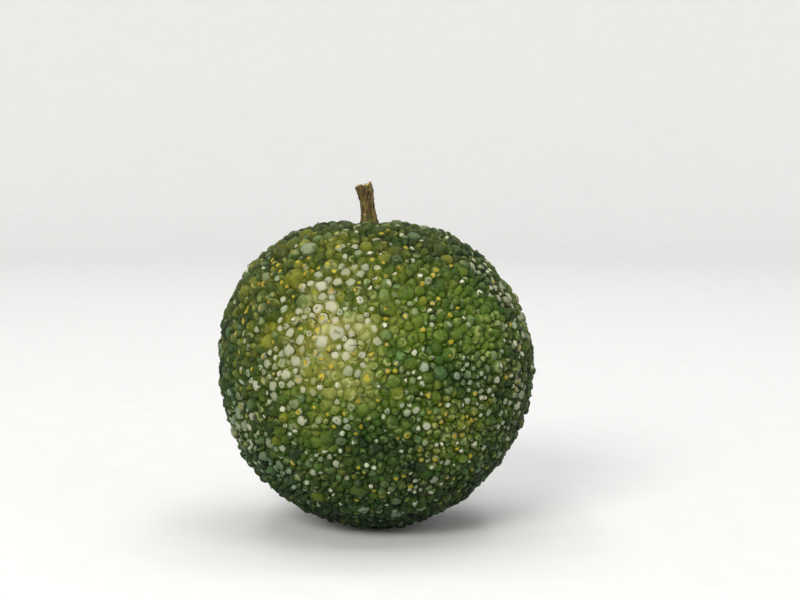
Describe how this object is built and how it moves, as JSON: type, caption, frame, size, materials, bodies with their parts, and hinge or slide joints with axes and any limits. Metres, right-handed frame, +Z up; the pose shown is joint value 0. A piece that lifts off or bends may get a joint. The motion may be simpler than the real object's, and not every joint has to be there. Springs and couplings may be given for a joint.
{
  "type": "hedge apple",
  "caption": "Round hedge apple fruit with a pebbled green skin of fused drupelets, a small flat spot to rest on and a short stub of woody stalk in a dimple at the top.",
  "frame": {"origin": "middle of the small flat spot that the fruit rests on", "axes": "+Z up, towards the stalk; -Y is the front, which the picture shows; +X is to the right in the picture"},
  "size_m": [0.1124, 0.111, 0.1223],
  "materials": {
    "skin": "living fruit skin: pebbled, mottled green, slightly waxy, with pale waxy nub tips and a few ochre ones",
    "bark": "dull woody stalk, ridged, with a dry broken end"
  },
  "bodies": {
    "root": {"fruit": "skin", "stalk": "bark"}
  },
  "joints": []
}
